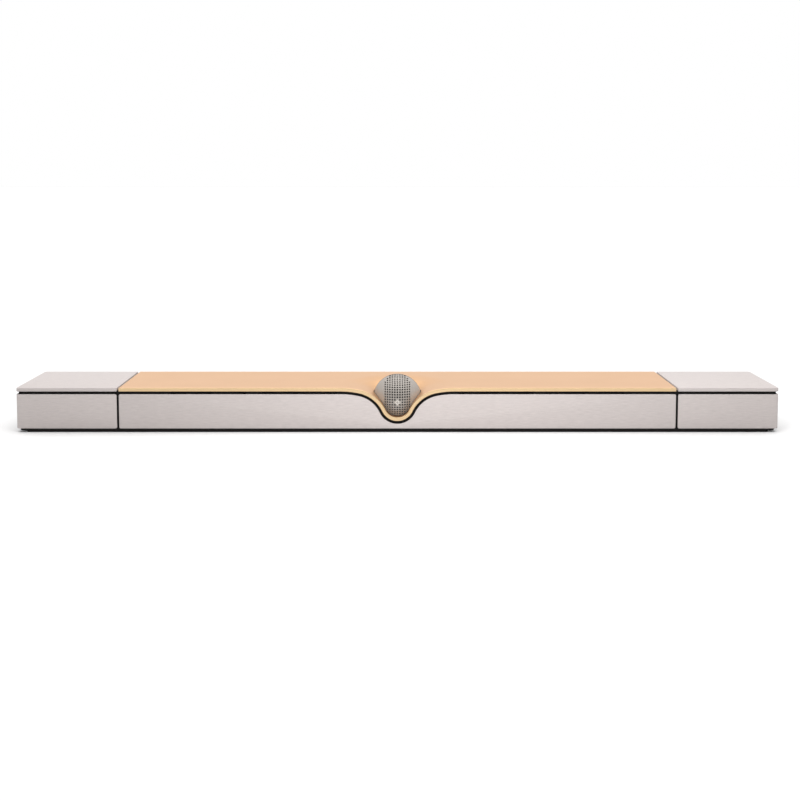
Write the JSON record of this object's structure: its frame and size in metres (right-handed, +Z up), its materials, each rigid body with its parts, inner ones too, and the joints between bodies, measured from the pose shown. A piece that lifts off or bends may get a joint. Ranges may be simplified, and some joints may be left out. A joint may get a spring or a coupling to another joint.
{
  "type": "soundbar",
  "caption": "Long low soundbar with cloth grilles, a metal top plate and a turning loudspeaker ball set in a bell-shaped valley.",
  "frame": {"origin": "under the middle of the bar, on the surface that its feet stand on", "axes": "+X along the bar to the right-hand end as the listener sees it, -Y towards the listener, +Z up"},
  "size_m": [1.2, 0.165, 0.0852],
  "materials": {
    "gold_plate": "satin gold-coloured coating on aluminium",
    "pale_cloth": "fine woven acoustic cloth, pale warm grey",
    "grille_frame": "moulded frame, matte",
    "black_plastic": "moulded, fine grain",
    "black_steel": "black powder coat",
    "foot_rubber": "matte rubber",
    "surround_rubber": "smooth rubber roll",
    "brass": "knurled threaded insert",
    "black_screws": "black oxide screw",
    "socket_steel": "plated socket shell",
    "button_plastic": "moulded button",
    "ball_paint": "satin warm grey paint on perforated metal",
    "ring_metal": "bright trim ring",
    "steel": "pressed steel",
    "magnet": "plated magnet assembly",
    "cone_metal": "thin formed metal cone",
    "bush_plastic": "low-friction moulded bush",
    "circuit_board": "solder-resist green board with parts",
    "heatsink": "extruded, anodised"
  },
  "bodies": {
    "case": {"amplifier_board": "circuit_board", "amplifier_heatsink": "heatsink", "ball_bushes": "bush_plastic", "ball_cradle": "black_plastic", "base_plate": "black_steel", "case_screws": "black_screws", "centre_chassis": "black_plastic", "centre_grille_cloth": "pale_cloth", "centre_grille_frame": "grille_frame", "connector_bay": "black_plastic", "foot_runners": "foot_rubber", "full_range_baskets": "steel", "full_range_magnets": "magnet", "full_range_surrounds": "surround_rubber", "left_grille_cloth": "pale_cloth", "left_grille_frame": "grille_frame", "left_housing": "black_plastic", "left_top_cloth": "pale_cloth", "left_top_frame": "grille_frame", "left_woofer_box": "black_plastic", "main_board": "circuit_board", "network_socket": "socket_steel", "optical_socket": "black_plastic", "power_inlet": "black_plastic", "power_supply_board": "circuit_board", "rear_panels": "black_plastic", "right_grille_cloth": "pale_cloth", "right_grille_frame": "grille_frame", "right_housing": "black_plastic", "right_top_cloth": "pale_cloth", "right_top_frame": "grille_frame", "right_woofer_box": "black_plastic", "top_plate": "gold_plate", "video_socket": "socket_steel", "wall_inserts": "brass", "woofer_baskets": "steel", "woofer_magnets": "magnet", "woofer_surrounds": "surround_rubber"},
    "ball": {"ball_front_grille": "ball_paint", "ball_rear_shell": "ball_paint", "ball_ring": "ring_metal", "ball_pins": "steel", "ball_mid_frame": "black_plastic", "ball_driver_basket": "steel", "ball_driver_magnet": "magnet", "ball_surround": "surround_rubber"},
    "ball_cone": {"ball_cone": "cone_metal"},
    "setup_button": {"setup_button": "button_plastic"},
    "left_front_inner_cone": {"left_front_inner_cone": "cone_metal"},
    "left_front_outer_cone": {"left_front_outer_cone": "cone_metal"},
    "left_side_cone": {"left_side_cone": "cone_metal"},
    "left_up_cone": {"left_up_cone": "cone_metal"},
    "right_front_inner_cone": {"right_front_inner_cone": "cone_metal"},
    "right_front_outer_cone": {"right_front_outer_cone": "cone_metal"},
    "right_side_cone": {"right_side_cone": "cone_metal"},
    "right_up_cone": {"right_up_cone": "cone_metal"},
    "left_upper_woofer_cones": {"left_upper_woofer_cones": "cone_metal"},
    "left_lower_woofer_cones": {"left_lower_woofer_cones": "cone_metal"},
    "right_upper_woofer_cones": {"right_upper_woofer_cones": "cone_metal"},
    "right_lower_woofer_cones": {"right_lower_woofer_cones": "cone_metal"}
  },
  "joints": [
    {"name": "ball_turn", "type": "hinge", "parent": "case", "child": "ball", "pos_m": [0, -0.0365, 0.0462], "axis": [-1, 0, 0], "range_deg": [0, 90]},
    {"name": "ball_cone_travel", "type": "slide", "parent": "ball", "child": "ball_cone", "axis": [0, -1, 0], "range_m": [-0.002, 0.002], "stiffness_N_per_m": 1500, "deforming": ["ball_surround"]},
    {"name": "button_press", "type": "slide", "parent": "case", "child": "setup_button", "axis": [0, -1, 0], "range_m": [0, 0.0008], "stiffness_N_per_m": 400},
    {"name": "left_front_inner_cone_travel", "type": "slide", "parent": "case", "child": "left_front_inner_cone", "axis": [0, -1, 0], "range_m": [-0.002, 0.002], "stiffness_N_per_m": 1500, "deforming": ["full_range_surrounds"]},
    {"name": "left_front_outer_cone_travel", "type": "slide", "parent": "case", "child": "left_front_outer_cone", "axis": [0, -1, 0], "range_m": [-0.002, 0.002], "stiffness_N_per_m": 1500},
    {"name": "left_side_cone_travel", "type": "slide", "parent": "case", "child": "left_side_cone", "axis": [-1, 0, 0], "range_m": [-0.002, 0.002], "stiffness_N_per_m": 1500},
    {"name": "left_up_cone_travel", "type": "slide", "parent": "case", "child": "left_up_cone", "axis": [0, 0, 1], "range_m": [-0.002, 0.002], "stiffness_N_per_m": 1500},
    {"name": "right_front_inner_cone_travel", "type": "slide", "parent": "case", "child": "right_front_inner_cone", "axis": [0, -1, 0], "range_m": [-0.002, 0.002], "stiffness_N_per_m": 1500},
    {"name": "right_front_outer_cone_travel", "type": "slide", "parent": "case", "child": "right_front_outer_cone", "axis": [0, -1, 0], "range_m": [-0.002, 0.002], "stiffness_N_per_m": 1500},
    {"name": "right_side_cone_travel", "type": "slide", "parent": "case", "child": "right_side_cone", "axis": [1, 0, 0], "range_m": [-0.002, 0.002], "stiffness_N_per_m": 1500},
    {"name": "right_up_cone_travel", "type": "slide", "parent": "case", "child": "right_up_cone", "axis": [0, 0, 1], "range_m": [-0.002, 0.002], "stiffness_N_per_m": 1500},
    {"name": "left_upper_woofer_cones_travel", "type": "slide", "parent": "case", "child": "left_upper_woofer_cones", "axis": [0, 0, 1], "range_m": [-0.004, 0.004], "stiffness_N_per_m": 6000, "deforming": ["woofer_surrounds"]},
    {"name": "left_lower_woofer_cones_travel", "type": "slide", "parent": "case", "child": "left_lower_woofer_cones", "axis": [0, 0, -1], "range_m": [-0.004, 0.004], "stiffness_N_per_m": 6000},
    {"name": "right_upper_woofer_cones_travel", "type": "slide", "parent": "case", "child": "right_upper_woofer_cones", "axis": [0, 0, 1], "range_m": [-0.004, 0.004], "stiffness_N_per_m": 6000},
    {"name": "right_lower_woofer_cones_travel", "type": "slide", "parent": "case", "child": "right_lower_woofer_cones", "axis": [0, 0, -1], "range_m": [-0.004, 0.004], "stiffness_N_per_m": 6000}
  ],
  "couplings": [
    {"joint": "left_lower_woofer_cones_travel", "follows": "left_upper_woofer_cones_travel", "ratio": 1},
    {"joint": "right_upper_woofer_cones_travel", "follows": "left_upper_woofer_cones_travel", "ratio": 1},
    {"joint": "right_lower_woofer_cones_travel", "follows": "left_upper_woofer_cones_travel", "ratio": 1}
  ]
}
